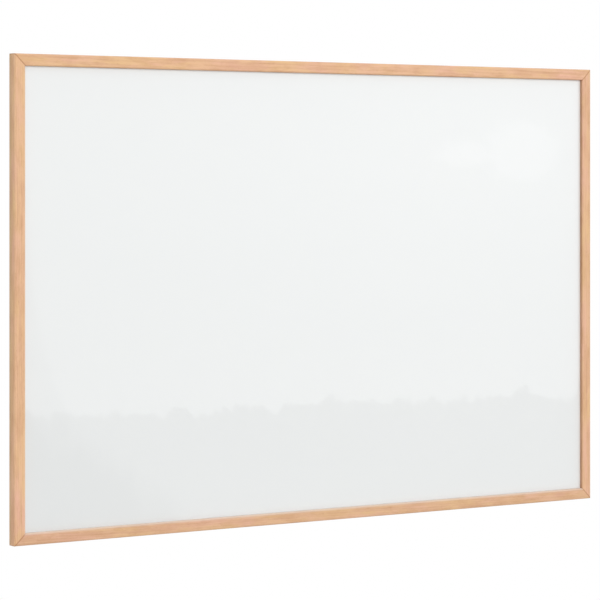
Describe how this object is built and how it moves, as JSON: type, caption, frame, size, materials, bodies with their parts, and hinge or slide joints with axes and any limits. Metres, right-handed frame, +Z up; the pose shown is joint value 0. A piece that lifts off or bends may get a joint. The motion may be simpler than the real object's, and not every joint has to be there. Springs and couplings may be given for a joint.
{
  "type": "magnetic whiteboard",
  "caption": "Wall-hung magnetic whiteboard: a white lacquered steel writing surface in a mitred wooden frame, with sawtooth hangers let into the back.",
  "frame": {"origin": "on the wall's plane, in the middle of the top rail's back, halfway between the two hangers", "axes": "+X to the right of someone who faces the writing surface, +Y back into the wall, +Z up"},
  "size_m": [0.9, 0.015, 0.6],
  "materials": {
    "frame_wood": "pale beech, oiled, fine grain along each length",
    "writing_lacquer": "gloss white dry-wipe lacquer on sheet steel",
    "core_fibreboard": "raw fibreboard",
    "back_hardboard": "brown hardboard, smooth side out",
    "bright_steel": "plain bright steel",
    "zinc_plate": "pressed steel, zinc plated"
  },
  "bodies": {
    "root": {"backing_board": "back_hardboard", "bottom_rail": "frame_wood", "core_board": "core_fibreboard", "hanger_left": "zinc_plate", "hanger_right": "zinc_plate", "hanger_screw_left_inner": "bright_steel", "hanger_screw_left_outer": "bright_steel", "hanger_screw_right_inner": "bright_steel", "hanger_screw_right_outer": "bright_steel", "left_stile": "frame_wood", "point_bottom_1": "bright_steel", "point_bottom_2": "bright_steel", "point_bottom_3": "bright_steel", "point_bottom_4": "bright_steel", "point_left_1": "bright_steel", "point_left_2": "bright_steel", "point_left_3": "bright_steel", "point_right_1": "bright_steel", "point_right_2": "bright_steel", "point_right_3": "bright_steel", "point_top_1": "bright_steel", "point_top_2": "bright_steel", "point_top_3": "bright_steel", "point_top_4": "bright_steel", "right_stile": "frame_wood", "top_rail": "frame_wood", "v_nail_bottom_left_1": "bright_steel", "v_nail_bottom_left_2": "bright_steel", "v_nail_bottom_right_1": "bright_steel", "v_nail_bottom_right_2": "bright_steel", "v_nail_top_left_1": "bright_steel", "v_nail_top_left_2": "bright_steel", "v_nail_top_right_1": "bright_steel", "v_nail_top_right_2": "bright_steel", "writing_sheet": "writing_lacquer"}
  },
  "joints": []
}
